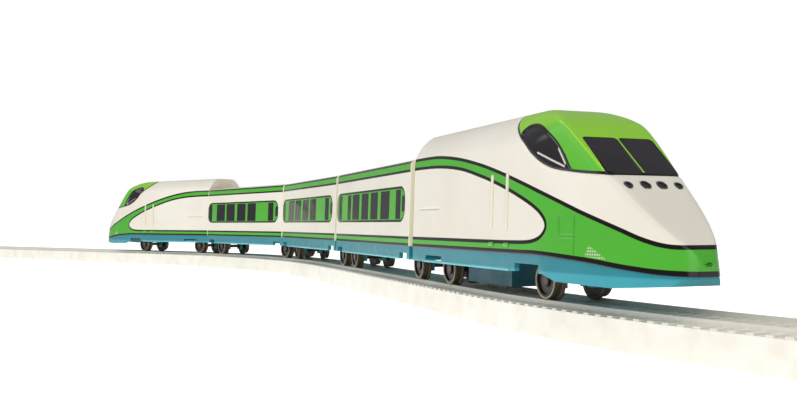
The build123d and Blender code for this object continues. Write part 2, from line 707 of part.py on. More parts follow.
def drive_parts():
    """Motor, its pinion, the compound gear, the driven wheelset and the frame that holds them."""
    axle, compound, pinion = gear_centres()
    half_small = 180 / SMALL_TEETH
    half_pinion = 180 / PINION_TEETH
    axle_gear = Pos(axle[0], 0, axle[1]) * gear(AXLE_TEETH, *NARROW_GEAR, AXLE_R, COMPOUND_DEG)
    drive_axle = wheelset(POWER_REAR_AXLE)
    small = gear(SMALL_TEETH, *NARROW_GEAR, 0, COMPOUND_DEG + 180 + half_small)
    large = gear(LARGE_TEETH, *WIDE_GEAR, 0, PINION_DEG)
    shaft = rod_y(0, 0, GEAR_SHAFT_R, FRAME_Y[0][0], FRAME_Y[1][1])
    middle = rod_y(0, 0, MODULE * (SMALL_TEETH / 2 - 1.2), NARROW_GEAR[1], WIDE_GEAR[0])
    compound_gear = Pos(compound[0], 0, compound[1]) * (small + large + middle + shaft)
    pinion_gear = gear(PINION_TEETH, *PINION_Y, 0, PINION_DEG + 180 + half_pinion)
    pinion_shaft = rod_y(0, 0, MOTOR_SHAFT_R, -4.0, PINION_Y[1] + 0.3)
    motor_pinion = Pos(pinion[0], 0, pinion[1]) * (pinion_gear + pinion_shaft)

    wide, long, high = MOTOR
    can = Pos(0, -long / 2, 0) * Box(wide, long, high)
    can = fillet(can.edges().filter_by(Axis.Y), 2.5)
    boss = rod_y(0, 0, 2.2, -0.1, 0.9)
    tabs = [box(x - 0.8, x + 0.8, -long - MOTOR_TAB, -long, -0.2, 0.2) for x in (-3, 3)]
    motor = (can + boss).fuse(*tabs) - rod_y(0, 0, MOTOR_SHAFT_R + 0.05, -4.3, 2)
    motor = Pos(pinion[0], 0, pinion[1]) * motor

    plates = [box(*FRAME_X, y0, y1, FRAME_LOW, FLOOR_LOW) for y0, y1 in FRAME_Y]
    x0, x1, thick = FRAME_BAR
    bar = box(x0, x1, FRAME_Y[0][0], FRAME_Y[1][1], FRAME_LOW, FRAME_LOW + thick)
    frame = plates[0].fuse(plates[1], bar)
    bores = [rod_y(axle[0], axle[1], AXLE_R + AXLE_FIT, -9, 9),
             rod_y(compound[0], compound[1], GEAR_SHAFT_R + AXLE_FIT, -9, 9)]
    frame = frame.cut(*bores)
    drive_set = as_group([drive_axle, axle_gear])
    return {"gearbox_frame": frame, "motor": motor, "motor_pinion": motor_pinion,
            "compound_gear": compound_gear, "drive_wheelset": drive_set}


def switch_parts():
    """Equipment box under the floor with the power switch and its ribbed knob."""
    x0, x1 = BOX_X
    case = box(x0, x1, -BOX_HALF, BOX_HALF, BOX_LOW, FLOOR_LOW)
    room = box(x0 + BOX_WALL, x1 - BOX_WALL, -BOX_HALF + BOX_WALL, BOX_HALF - BOX_WALL,
               BOX_LOW + BOX_WALL, FLOOR_LOW + 1)
    stem0, stem1, stem_half = KNOB_STEM
    slot = box(stem0 - 0.4, stem1 + KNOB_TRAVEL + 0.4, -stem_half - 0.3, stem_half + 0.3, 0, BOX_LOW + 3)
    case = case.cut(room, slot)
    body = box(*SWITCH_X, -SWITCH_HALF, SWITCH_HALF, *SWITCH_Z)
    rests = [box(x, x + 1.6, -SWITCH_HALF, SWITCH_HALF, BOX_LOW + BOX_WALL, SWITCH_Z[0])
             for x in (SWITCH_X[0], SWITCH_X[1] - 1.6)]
    knob = box(*KNOB_X, -KNOB_HALF, KNOB_HALF, *KNOB_Z)
    knob = knob + box(stem0, stem1, -stem_half, stem_half, KNOB_Z[1] - 0.1, SWITCH_Z[0] - 0.3)
    pitch = (KNOB_X[1] - KNOB_X[0]) / KNOB_RIBS
    grooves = [box(KNOB_X[0] + (i + 0.6) * pitch, KNOB_X[0] + (i + 1) * pitch, -KNOB_HALF - 1,
                   KNOB_HALF + 1, 0, KNOB_Z[0] + 0.6) for i in range(KNOB_RIBS - 1)]
    return {"equipment_box": case, "power_switch": body.fuse(*rests), "switch_knob": knob.cut(*grooves)}


def battery_parts():
    """Two cells side by side in a tray on the floor, with a contact at each end."""
    low = PART_Z + 0.1
    x0 = CELL_X - 2.2
    x1 = CELL_X + CELL_LEN + 2.8
    base = box(x0, x1, -TRAY_HALF, TRAY_HALF, low, low + TRAY_T)
    ends = [box(x, x + 1.2, -TRAY_HALF, TRAY_HALF, low, low + TRAY_HIGH) for x in (x0, x1 - 1.2)]
    tray = base.fuse(*ends)
    cell_z = low + TRAY_T + CELL_R + CELL_GAP
    cells = []
    contacts = []
    for side in (-1, 1):
        along = Rot(0, 90, 0)
        y = side * CELL_Y
        body = Pos(CELL_X + CELL_LEN / 2, y, cell_z) * along * Cylinder(CELL_R, CELL_LEN - 1.4)
        nub_x = CELL_X + CELL_LEN - 0.35 if side > 0 else CELL_X + 0.35
        nub = Pos(nub_x, y, cell_z) * along * Cylinder(2.6, 0.9)
        cells.append(body + nub)
        contacts.append(box(x0 + 1.2, x0 + 1.6, y - 4, y + 4, low + TRAY_T, cell_z + 4.0))
        contacts.append(box(x1 - 1.6, x1 - 1.2, y - 4, y + 4, low + TRAY_T, cell_z + 4.0))
    return {"battery_tray": tray, "battery_cells": as_group(cells), "battery_contacts": as_group(contacts)}


def drawbar(length):
    """Bar with a pivot eye at the origin and a loop at x = -length."""
    low, high = BAR_Z
    thick = high - low
    middle = (low + high) / 2
    eye = Pos(0, 0, middle) * Cylinder(EYE_R, thick)
    loop = Pos(-length, 0, middle) * Box(2 * LOOP_HALF[0], 2 * LOOP_HALF[1], thick)
    bar = box(-length, 0, -BAR_HALF, BAR_HALF, low, high)
    hole = Pos(-length, 0, middle) * Box(2 * LOOP_HOLE[0], 2 * LOOP_HOLE[1], 2 * thick)
    bore = Pos(0, 0, middle) * Cylinder(PIVOT_R + AXLE_FIT, 2 * thick)
    return (eye + loop + bar) - hole - bore


def drawbar_between(front_frame, front_x, rear_frame, rear_x):
    """Drawbar from the pivot of the car in front to the peg of the car behind it."""
    pivot = (front_frame * Location((front_x, 0, 0))).position
    peg = (rear_frame * Location((rear_x, 0, 0))).position
    length = hypot(pivot.X - peg.X, pivot.Y - peg.Y)
    heading = degrees(atan2(pivot.Y - peg.Y, pivot.X - peg.X))
    return Location((pivot.X, pivot.Y, RAIL_DATUM), (0, 0, heading)) * drawbar(length)


# ---------------------------------------------------------------- assembly
def build_power_cars(frames):
    nodes = {}
    shell_parts = power_shell_parts()
    for car, coupler, drive in (("head", pivot_boss(PIVOT_IN), True), ("tail", hook_peg(PEG_IN), False)):
        for name, part in shell_parts.items():
            nodes[f"{car}_{name}"] = frames[car] * part
        nodes[f"{car}_chassis"] = frames[car] * power_chassis(coupler, drive)
        nodes[f"{car}_screws"] = frames[car] * power_screws()
        nodes[f"{car}_outer_wheelset"] = frames[car] * wheelset(POWER_FRONT_AXLE)
    nodes["tail_inner_wheelset"] = frames["tail"] * wheelset(POWER_REAR_AXLE)
    for name, part in {**drive_parts(), **switch_parts(), **battery_parts()}.items():
        nodes[name] = frames["head"] * part
    return nodes


def build_coaches(frames):
    nodes = {}
    shared = {"chassis": coach_chassis(), "screws": coach_screws(),
              "front_wheelset": wheelset(COACH_PITCH - COACH_AXLE), "rear_wheelset": wheelset(COACH_AXLE)}
    lead = {"shell": coach_shell(LEAD_PANES), "glazing": coach_glazing(LEAD_PANES)}
    other = {"shell": coach_shell(OTHER_PANES), "glazing": coach_glazing(OTHER_PANES)}
    for number, windows in ((1, lead), (2, other), (3, other)):
        for name, part in (shared | windows).items():
            nodes[f"coach_{number}_{name}"] = frames[f"coach_{number}"] * part
    return nodes


def build_drawbars(frames):
    ahead = [("head", PIVOT_IN), ("coach_1", PIVOT_IN), ("coach_2", PIVOT_IN), ("coach_3", PIVOT_IN)]
    behind = [("coach_1", COACH_PITCH - PEG_IN), ("coach_2", COACH_PITCH - PEG_IN),
              ("coach_3", COACH_PITCH - PEG_IN), ("tail", PEG_IN)]
    nodes = {}
    for number, ((front, front_x), (rear, rear_x)) in enumerate(zip(ahead, behind), start=1):
        nodes[f"drawbar_{number}"] = drawbar_between(frames[front], front_x, frames[rear], rear_x)
    return nodes


def main():
    os.makedirs("parts", exist_ok=True)
    frames = car_frames()
    nodes = {**build_track(), **build_power_cars(frames), **build_coaches(frames), **build_drawbars(frames)}
    for name, part in nodes.items():
        export_step(part, f"parts/{name}.step")
    print(len(nodes), "nodes")


main()
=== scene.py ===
import json
from math import atan2, cos, hypot, pi, radians, sin, sqrt

import bmesh
import bpy
import numpy as np
from mathutils import Matrix, Vector


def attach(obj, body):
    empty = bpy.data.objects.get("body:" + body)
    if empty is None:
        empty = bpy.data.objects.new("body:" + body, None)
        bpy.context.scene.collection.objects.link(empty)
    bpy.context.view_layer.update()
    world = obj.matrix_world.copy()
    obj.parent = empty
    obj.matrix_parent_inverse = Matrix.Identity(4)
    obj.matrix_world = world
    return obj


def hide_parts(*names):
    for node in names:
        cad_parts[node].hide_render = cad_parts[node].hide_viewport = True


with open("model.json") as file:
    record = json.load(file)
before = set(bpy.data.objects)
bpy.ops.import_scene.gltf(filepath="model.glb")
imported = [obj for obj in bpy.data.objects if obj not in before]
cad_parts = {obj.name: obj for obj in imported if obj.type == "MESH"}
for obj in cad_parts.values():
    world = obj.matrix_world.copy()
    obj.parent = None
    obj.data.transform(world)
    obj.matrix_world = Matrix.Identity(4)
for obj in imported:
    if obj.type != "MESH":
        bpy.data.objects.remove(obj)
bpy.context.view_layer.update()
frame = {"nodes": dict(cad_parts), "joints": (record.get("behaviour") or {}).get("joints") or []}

MM = 0.001

# ---------------------------------------------------------------- dimensions, in mm
# These are the CAD's, except that the brow is 1.1 mm lower and its radius 2 mm larger than there.
STRAIGHT_LEN = 200.0
CURVE_RADIUS = 400.0
CURVE_DEG = 36.0
RAIL_DATUM = 9.8
COACH_PITCH = 113.9
COACH_AXLE = 11.2
POWER_REAR_AXLE = 20.2
POWER_FRONT_AXLE = 87.1
SEAM_AT = 55.5
END_X = 2.5
FOOT_HALF = 17.65
SHOULDER_HALF = 16.1
SHOULDER_Z = 45.0
SHOULDER_MID = (12.7, 51.1)
ROOF_EDGE = (7.8, 55.2)
CROWN = 56.0
NOSE_TIP = 143.5
SCREEN_X = 108.5
SCREEN_Z = 45.0
SCREEN_SLOPE = 0.86
BROW_Z = 55.2
BROW_R = 34.0
TIP_R = 6.0
PLAN_LOW = (95.0, 50.5, 17.9)
PLAN_HIGH = (55.0, 82.5, 15.7)
PLAN_HIGH_Z = 60.0
PARTING = [(0.0, 13.2), (80.0, 13.2), (95.0, 13.2), (115.0, 12.1), (128.0, 10.7), (138.0, 9.8), (150.0, 9.5)]

# ---------------------------------------------------------------- printed lines, car frame (x, z) in mm
BORDER = [(-5.0, 45.7), (16.0, 45.7), (28.6, 45.1), (43.0, 43.4), (58.2, 40.6), (72.0, 37.3), (84.0, 34.0),
          (94.9, 30.7), (104.2, 27.7), (112.4, 24.9), (119.7, 22.5), (126.1, 20.3), (131.7, 18.2),
          (136.5, 16.8), (140.4, 16.3), (146.0, 16.6)]
LOOP = [(-40.0, 42.4), (-5.0, 42.4), (10.0, 42.4), (26.5, 41.9), (43.2, 40.2), (58.4, 37.1), (72.2, 33.6),
        (84.7, 29.6), (93.0, 26.3), (97.1, 23.6), (98.4, 21.4), (97.5, 19.4), (94.8, 17.7), (89.5, 16.7),
        (80.0, 16.45), (66.6, 16.4), (30.0, 16.4), (-5.0, 16.4), (-40.0, 16.4)]
HOOD = [(68.5, 58.5), (71.5, 55.4), (75.8, 51.4), (80.4, 48.2), (84.9, 45.2), (88.9, 42.0), (94.4, 38.9),
        (100.3, 36.9), (106.9, 35.8), (113.9, 34.9), (120.8, 34.3)]
WINDOW = [(83.0, 47.0), (82.6, 49.0), (84.8, 50.2), (88.5, 50.2), (92.6, 49.2), (96.2, 47.5), (100.7, 44.3),
          (104.1, 40.8), (106.4, 37.6), (107.3, 35.6), (100.3, 36.5), (94.4, 38.5), (88.9, 41.6), (84.9, 44.8)]
GUTTERS = [((92.0, 42.0), (104.6, 37.3)), ((101.6, 42.4), (104.9, 38.0))]
PANELS = [((103.9, 24.0), (104.8, 18.5)), ((104.8, 18.5), (110.5, 18.5)), ((110.3, 24.0), (111.0, 13.6)),
          ((8.0, 27.0), (26.0, 27.0))]
PANE_AT = 114.3
PANE_Y = (5.75, 5.25)
PANE_LEN = 15.2
LAMP_AT = 124.0
LAMPS = [(2.5, 1.2), (7.7, 0.9)]
POWER_LINE = 0.55
VENT_CELL = 0.8
VENT = [(116.4, 16.4), (115.2, 13.4), (122.6, 12.9)]

# handrails and steps beside the driver's door
RAIL_AT = (67.2, 76.9)
RAIL_Z = (20.0, 37.0)
STEP_Z = 15.6
STEP_HALF = 1.6

# coach window bands: where the band runs, and its printed end windows
BAND_X = (3.1, 105.6)
BAND_Z = (22.5, 36.8)
PANE_Z = (23.7, 35.5)
PRINTED = {1: (6.4, 12.8), 2: (4.4, 9.6), 3: (4.4, 9.6)}
REAR_PANE = (101.9, 104.6, 26.5, 33.1)

# coach stripes as (middle height, half width), and the black lines beside them
STRIPES = [(44.05, 1.65), (14.8, 1.6)]
COACH_LINES = (45.7, 42.4, 16.4, 13.8)
COACH_LINE = 0.5

# moulded ledges on the chassis sides
LEDGES = {"power": (13.6, 79.0), "coach": (14.6, 99.4)}
LEDGE_Z = 8.35

# camera: focal length in picture widths, place in mm, heading and tilt in radians
FOCAL = 852.1 / 797
CAMERA_AT = (362.50, -128.49, 31.664)
CAMERA_YAW = radians(70.905)
CAMERA_TILT = 0.02185


# ---------------------------------------------------------------- placing
def path_point(u):
    """Position and heading at distance u along the track, from the middle of the middle straight."""
    half = STRAIGHT_LEN / 2
    if u > half:
        turn = (u - half) / CURVE_RADIUS
        return half + CURVE_RADIUS * sin(turn), CURVE_RADIUS * (1 - cos(turn)), turn
    if u >= -half:
        return u, 0.0, 0.0
    turn = min((-half - u) / CURVE_RADIUS, radians(CURVE_DEG))
    past = (-half - u) - turn * CURVE_RADIUS
    return (-half - CURVE_RADIUS * sin(turn) - past * cos(turn),
            -CURVE_RADIUS * (1 - cos(turn)) - past * sin(turn), turn)


def car_matrix(front_u, rear_u, front_x, rear_x):
    """Matrix of a car frame in metres, from where its two axles stand on the track."""
    fx, fy, _ = path_point(front_u)
    rx, ry, _ = path_point(rear_u)
    heading = atan2(fy - ry, fx - rx)
    middle = (front_x + rear_x) / 2
    x = (fx + rx) / 2 - middle * cos(heading)
    y = (fy + ry) / 2 - middle * sin(heading)
    return Matrix.Translation(Vector((x, y, RAIL_DATUM)) * MM) @ Matrix.Rotation(heading, 4, "Z")


def car_matrices():
    cars = {"head": car_matrix(SEAM_AT + POWER_FRONT_AXLE, SEAM_AT + POWER_REAR_AXLE,
                               POWER_FRONT_AXLE, POWER_REAR_AXLE)}
    for number in (1, 2, 3):
        seam = SEAM_AT - number * COACH_PITCH
        cars[f"coach_{number}"] = car_matrix(seam + COACH_PITCH - COACH_AXLE, seam + COACH_AXLE,
                                             COACH_PITCH - COACH_AXLE, COACH_AXLE)
    seam = SEAM_AT - 3 * COACH_PITCH
    cars["tail"] = car_matrix(seam - POWER_FRONT_AXLE, seam - POWER_REAR_AXLE,
                              POWER_FRONT_AXLE, POWER_REAR_AXLE)
    return cars


CARS = car_matrices()


def place(obj, car, body):
    """Puts a piece made in a car's frame into the world, riding on a body."""
    obj.matrix_world = CARS[car]
    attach(obj, body)


# ---------------------------------------------------------------- shader trees
def rgb(code):
    """Linear colour from a six-digit sRGB code."""
    values = [int(code[i:i + 2], 16) / 255 for i in (0, 2, 4)]
    return [v / 12.92 if v <= 0.04045 else ((v + 0.055) / 1.055) ** 2.4 for v in values] + [1.0]


class Paint:
    """A material with a Principled shader, and short names for the nodes it is built from."""

    def __init__(self, name):
        self.material = bpy.data.materials.new(name)
        self.material.use_nodes = True
        self.tree = self.material.node_tree
        self.shader = self.tree.nodes["Principled BSDF"]

    def node(self, kind, **settings):
        made = self.tree.nodes.new(kind)
        for key, value in settings.items():
            setattr(made, key, value)
        return made

    def feed(self, socket, value):
        if isinstance(value, bpy.types.NodeSocket):
            self.tree.links.new(value, socket)
        elif value is not None:
            socket.default_value = value

    def math(self, operation, a, b=None, c=None):
        made = self.node("ShaderNodeMath", operation=operation)
        for socket, value in zip(made.inputs, (a, b, c)):
            self.feed(socket, value)
        return made.outputs[0]

    def mix(self, share, a, b):
        made = self.node("ShaderNodeMix", data_type="RGBA")
        self.feed(made.inputs["Factor"], share)
        self.feed(made.inputs[6], a)
        self.feed(made.inputs[7], b)
        return made.outputs[2]

    def ramp(self, value, low, high, to_low, to_high):
        made = self.node("ShaderNodeMapRange", interpolation_type="SMOOTHSTEP")
        for socket, number in zip(made.inputs, (value, low, high, to_low, to_high)):
            self.feed(socket, number)
        return made.outputs[0]

    def inside(self, distance, soft=0.07):
        """1 where a signed distance is negative, with a soft edge."""
        return self.ramp(distance, -soft, soft, 1.0, 0.0)

    def line(self, distance, half, soft=0.07):
        return self.inside(self.math("SUBTRACT", self.math("ABSOLUTE", distance), half), soft)

    def both(self, a, b):
        return self.math("MULTIPLY", a, b)

    def either(self, a, b):
        return self.math("MAXIMUM", a, b)

    def attribute(self, name):
        return self.node("ShaderNodeAttribute", attribute_name=name).outputs["Fac"]

    def object_point(self):
        return self.node("ShaderNodeTexCoord").outputs["Object"]

    def car_point(self, matrix):
        """Object coordinates of a CAD node, turned into millimetres in a car's frame."""
        inverse = matrix.inverted()
        made = self.node("ShaderNodeMapping")
        self.feed(made.inputs["Vector"], self.object_point())
        made.inputs["Location"].default_value = inverse.translation / MM
        made.inputs["Rotation"].default_value = inverse.to_euler()
        made.inputs["Scale"].default_value = (1 / MM, 1 / MM, 1 / MM)
        return made.outputs[0]

    def split(self, vector):
        made = self.node("ShaderNodeSeparateXYZ")
        self.feed(made.inputs[0], vector)
        return made.outputs[0], made.outputs[1], made.outputs[2]

    def noise(self, scale, detail=3.0, roughness=0.55, vector=None):
        made = self.node("ShaderNodeTexNoise")
        made.inputs["Scale"].default_value = scale
        made.inputs["Detail"].default_value = detail
        made.inputs["Roughness"].default_value = roughness
        self.feed(made.inputs["Vector"], self.object_point() if vector is None else vector)
        return made.outputs["Fac"]

    def bump(self, height, strength, distance):
        made = self.node("ShaderNodeBump")
        made.inputs["Strength"].default_value = strength
        made.inputs["Distance"].default_value = distance
        self.feed(made.inputs["Height"], height)
        self.feed(self.shader.inputs["Normal"], made.outputs[0])

    def finish(self, color, roughness, **constants):
        self.feed(self.shader.inputs["Base Color"], color)
        self.feed(self.shader.inputs["Roughness"], roughness)
        for key, value in constants.items():
            self.shader.inputs[key.replace("_", " ")].default_value = value
        return self.material

    def mottled(self, color, scale, depth):
        """A colour that varies a little over the surface."""
        darker = [c * (1 - depth) for c in color[:3]] + [1.0]
        return self.mix(self.ramp(self.noise(scale), 0.35, 0.65, 0.0, 1.0), color, darker)


def plastic(name, code, rough=(0.3, 0.42), depth=0.06, grain=2600.0, strength=0.12, coat=0.0, metallic=0.0):
    """Moulded plastic or plain metal: slight colour drift, fine grain and uneven gloss."""
    paint = Paint(name)
    color = paint.mottled(rgb(code), 60.0, depth)
    gloss = paint.ramp(paint.noise(220.0), 0.3, 0.7, rough[0], rough[1])
    paint.bump(paint.noise(grain), strength, 0.00004)
    constants = {"Metallic": metallic}
    if coat:
        constants["Coat_Weight"] = coat
        constants["Coat_Roughness"] = 0.12
    return paint.finish(color, gloss, **constants)


CREAM = rgb("E8E3D8")
SHADE = rgb("E2DCCF")
GREEN = rgb("4BAA30")
LIME = rgb("8CCB2C")
# the hood's lime as painted shade, for the parts of the hood that face sideways
LIME_PAINTED_SHADE = rgb("52AE2E")
BLACK = rgb("0B0806")
SMOKE = rgb("1C191F")


def gloss_parts(paint, color, shine, dark):
    """Finish shared by the printed bodies: glossy print over moulded plastic, glossier dark windows."""
    uneven = paint.ramp(paint.noise(180.0), 0.3, 0.7, 0.22, 0.27)
    gloss = paint.ramp(dark, 0.0, 1.0, uneven, shine)
    paint.bump(paint.noise(1500.0), 0.03, 0.00003)
    return paint.finish(color, gloss, Coat_Weight=0.12, Coat_Roughness=0.10, Specular_IOR_Level=0.28)


def power_paint(name):
    """Print of a power car body, from signed distances stored on its mesh."""
    paint = Paint(name)
    x, _, z = paint.split(paint.object_point())
    border = paint.attribute("border")
    loop = paint.attribute("loop")
    base = paint.attribute("base")
    panels = paint.attribute("panels")
    vent = paint.attribute("vent")
    lamp = paint.attribute("lamp")
    cream = paint.mix(paint.ramp(paint.noise(25.0), 0.3, 0.7, 0.0, 1.0), CREAM, SHADE)
    green_area = paint.both(paint.inside(border), paint.inside(paint.math("MULTIPLY", loop, -1.0)))
    green = paint.mottled(GREEN, 40.0, 0.05)
    color = paint.mix(green_area, cream, green)
    groove = paint.line(panels, 0.2, 0.16)
    color = paint.mix(paint.both(groove, 0.4), color, BLACK)
    cell = VENT_CELL * MM
    cells = [paint.math("ABSOLUTE", paint.math("SUBTRACT", paint.math("FRACT", paint.math("DIVIDE", a, cell)), 0.5))
             for a in (x, z)]
    dots = paint.both(paint.inside(paint.math("SUBTRACT", cells[0], 0.3), 0.05),
                      paint.inside(paint.math("SUBTRACT", cells[1], 0.3), 0.05))
    color = paint.mix(paint.both(paint.both(dots, paint.inside(vent)), 0.8), color, rgb("D9D2C0"))
    black = paint.either(paint.line(border, POWER_LINE), paint.line(loop, POWER_LINE))
    black = paint.either(black, paint.inside(paint.math("SUBTRACT", base, 1.15)))
    color = paint.mix(black, color, BLACK)
    ring = paint.inside(paint.math("ADD", lamp, 0.1))
    color = paint.mix(ring, color, BLACK)
    return gloss_parts(paint, color, 0.16, black)


def hood_paint(name):
    """Lime cab hood with painted shade, deeper green where it faces sideways, with black edge, dark side windows
    and a dark frame round the windscreen panes.
    """
    paint = Paint(name)
    hood = paint.attribute("hood")
    window = paint.attribute("window")
    gutter = paint.attribute("gutter")
    pane = paint.attribute("pane")
    up = paint.split(paint.node("ShaderNodeNewGeometry").outputs["Normal"])[2]
    # painted shade: the lime turns deeper green as the surface turns from facing up to facing sideways
    lime_with_painted_shade = paint.mix(paint.ramp(up, 0.15, 0.75, 0.0, 1.0), LIME_PAINTED_SHADE, LIME)
    lime_with_painted_shade = paint.mix(paint.both(paint.ramp(paint.noise(45.0), 0.35, 0.7, 0.0, 1.0), 0.25), lime_with_painted_shade, rgb("7DBF27"))
    dark = paint.inside(window)
    edge = paint.inside(paint.math("SUBTRACT", paint.math("MULTIPLY", hood, -1.0), 0.75))
    color = paint.mix(edge, lime_with_painted_shade, BLACK)
    color = paint.mix(dark, color, SMOKE)
    color = paint.mix(paint.line(window, 0.5), color, BLACK)
    color = paint.mix(paint.both(paint.line(gutter, 0.24, 0.16), dark), color, rgb("D8D4CC"))
    color = paint.mix(paint.inside(paint.math("SUBTRACT", pane, 0.25)), color, BLACK)
    return gloss_parts(paint, color, 0.10, dark)


def round_box(paint, x, z, low_x, high_x, low_z, high_z, radius):
    """Signed distance to a rectangle with rounded corners."""
    parts = []
    for value, low, high in ((x, low_x, high_x), (z, low_z, high_z)):
        away = paint.math("ABSOLUTE", paint.math("SUBTRACT", value, (low + high) / 2))
        parts.append(paint.math("SUBTRACT", away, (high - low) / 2 - radius))
    out = [paint.math("MAXIMUM", part, 0.0) for part in parts]
    far = paint.math("SQRT", paint.math("ADD", paint.both(out[0], out[0]), paint.both(out[1], out[1])))
    near = paint.math("MINIMUM", paint.math("MAXIMUM", parts[0], parts[1]), 0.0)
    return paint.math("SUBTRACT", paint.math("ADD", far, near), radius)


def coach_paint(number):
    """Print of a coach body, worked out in the coach's own frame."""
    paint = Paint(f"coach_{number}_print")
    x, _, z = paint.split(paint.car_point(CARS[f"coach_{number}"]))
    cream = paint.mix(paint.ramp(paint.noise(25.0), 0.3, 0.7, 0.0, 1.0), CREAM, SHADE)
    middle = COACH_PITCH / 2
    from_end = paint.math("SUBTRACT", middle - END_X, paint.math("ABSOLUTE", paint.math("SUBTRACT", x, middle)))
    printed = paint.ramp(from_end, 0.5, 0.7, 0.0, 1.0)
    stripes = paint.either(*[paint.line(paint.math("SUBTRACT", z, height), half) for height, half in STRIPES])
    green = paint.mottled(GREEN, 40.0, 0.05)
    color = paint.mix(stripes, cream, green)
    black = paint.line(paint.math("SUBTRACT", z, COACH_LINES[0]), COACH_LINE)
    for height in COACH_LINES[1:]:
        black = paint.either(black, paint.line(paint.math("SUBTRACT", z, height), COACH_LINE))
    band = round_box(paint, x, z, *BAND_X, *BAND_Z, 5.6)
    color = paint.mix(paint.inside(band), color, green)
    black = paint.either(black, paint.line(paint.math("ADD", band, 0.45), 0.45))
    low, high = PRINTED[number]
    ends = paint.either(paint.inside(round_box(paint, x, z, low, high, *PANE_Z, 0.5)),
                        paint.inside(round_box(paint, x, z, *REAR_PANE, 1.2)))
    black = paint.both(black, printed)
    color = paint.mix(printed, rgb("EAE6CC"), color)
    color = paint.mix(black, color, BLACK)
    dark = paint.both(ends, paint.inside(band))
    color = paint.mix(dark, color, SMOKE)
    return gloss_parts(paint, color, 0.14, paint.either(black, dark))


def smoke_glass(name):
    """Polished dark tinted plastic."""
    paint = Paint(name)
    color = paint.mix(paint.ramp(paint.noise(90.0), 0.3, 0.7, 0.0, 1.0), SMOKE, rgb("242028"))
    gloss = paint.ramp(paint.noise(300.0), 0.35, 0.65, 0.06, 0.12)
    paint.bump(paint.noise(500.0), 0.04, 0.00005)
    return paint.finish(color, gloss, Coat_Weight=0.05, Coat_Roughness=0.04, Specular_IOR_Level=0.25)


def track_paint():
    """White moulded track: slight warmth, fine grain, patchy painted shade in the recesses and on the parts lower
    than about 8 mm.
    """
    paint = Paint("track_moulding")
    z = paint.split(paint.object_point())[2]
    clean = paint.mix(paint.ramp(paint.noise(18.0), 0.3, 0.7, 0.0, 1.0), rgb("F0EDE5"), rgb("EBE7DC"))
    # painted shade: patchy darkening of everything lower than about 8 mm
    low = paint.ramp(z, 7.9 * MM, 8.3 * MM, 1.0, 0.0)
    low_shade = paint.both(low, paint.ramp(paint.noise(140.0), 0.4, 0.7, 0.1, 0.5))
    color = paint.mix(low_shade, clean, rgb("DAD3C4"))
    gloss = paint.ramp(paint.noise(240.0), 0.3, 0.7, 0.34, 0.5)
    paint.bump(paint.noise(1800.0), 0.2, 0.00006)
    return paint.finish(color, gloss)


def wheel_paint(name, matrix):
    """Dark wheel with a worn bright rim and steel axle, about the wheelset's own axle."""
    paint = Paint(name)
    x, y, z = paint.split(paint.car_point(matrix))
    radius = paint.math("SQRT", paint.math("ADD", paint.both(x, x), paint.both(z, z)))
    face = paint.mottled(rgb("241A16"), 300.0, 0.35)
    side = paint.math("ABSOLUTE", y)
    rim = paint.both(paint.ramp(radius, 4.75, 4.95, 0.0, 1.0), paint.ramp(side, 9.2, 9.5, 0.0, 1.0))
    tread = paint.both(paint.ramp(radius, 5.05, 5.2, 0.0, 1.0), 0.3)
    bright = paint.either(rim, tread)
    bright = paint.both(bright, paint.ramp(paint.noise(500.0), 0.3, 0.6, 0.65, 1.0))
    axle = paint.inside(paint.math("SUBTRACT", radius, 1.15))
    color = paint.mix(bright, face, rgb("A08F6E"))
    color = paint.mix(axle, color, rgb("5E554C"))
    gloss = paint.ramp(bright, 0.0, 1.0, 0.42, 0.3)
    paint.bump(paint.noise(1800.0), 0.12, 0.00005)
    metal = paint.both(paint.either(bright, axle), 0.8)
    paint.feed(paint.shader.inputs["Metallic"], metal)
    return paint.finish(color, gloss)


def chassis_paint(name):
    """Teal moulded chassis, with a painted highlight of paler teal along the lower edge of its sides."""
    paint = Paint(name)
    z = paint.split(paint.object_point())[2]
    teal = paint.mottled(rgb("1A8290"), 70.0, 0.10)
    height = paint.math("SUBTRACT", z, RAIL_DATUM * MM)
    # painted highlight: up to 45 % paler teal on the lowest part of the chassis sides
    lip_highlight = paint.ramp(height, 8.4 * MM, 9.2 * MM, 0.45, 0.0)
    color = paint.mix(lip_highlight, teal, rgb("4DB6C4"))
    gloss = paint.ramp(paint.noise(220.0), 0.3, 0.7, 0.28, 0.4)
    paint.bump(paint.noise(2200.0), 0.12, 0.00005)
    return paint.finish(color, gloss, Coat_Weight=0.15, Coat_Roughness=0.2)


# ---------------------------------------------------------------- curves in the side view
def smooth_curve(points, closed=False, steps=12):
    """Catmull-Rom curve through points, as a dense polyline."""
    pts = np.array(points, float)
    if closed:
        pts = np.vstack([pts[-1], pts, pts[0], pts[1]])
    else:
        pts = np.vstack([2 * pts[0] - pts[1], pts, 2 * pts[-1] - pts[-2]])
    share = np.linspace(0, 1, steps, endpoint=False)[:, None]
    rows = []
    for a, b, c, d in zip(pts, pts[1:], pts[2:], pts[3:]):
        rows.append(0.5 * (2 * b + (c - a) * share + (2 * a - 5 * b + 4 * c - d) * share ** 2
                           + (3 * b - a - 3 * c + d) * share ** 3))
    dense = np.vstack(rows)
    return dense if closed else np.vstack([dense, pts[-2]])


def distance_to(points, line):
    """Least distance from each point to a polyline."""
    best = np.full(len(points), 1e9)
    for a, b in zip(line, line[1:]):
        run = b - a
        length = max(float(run @ run), 1e-12)
        share = np.clip(((points - a) @ run) / length, 0, 1)[:, None]
        gap = points - a - share * run
        best = np.minimum(best, np.einsum("ij,ij->i", gap, gap))
    return np.sqrt(best)


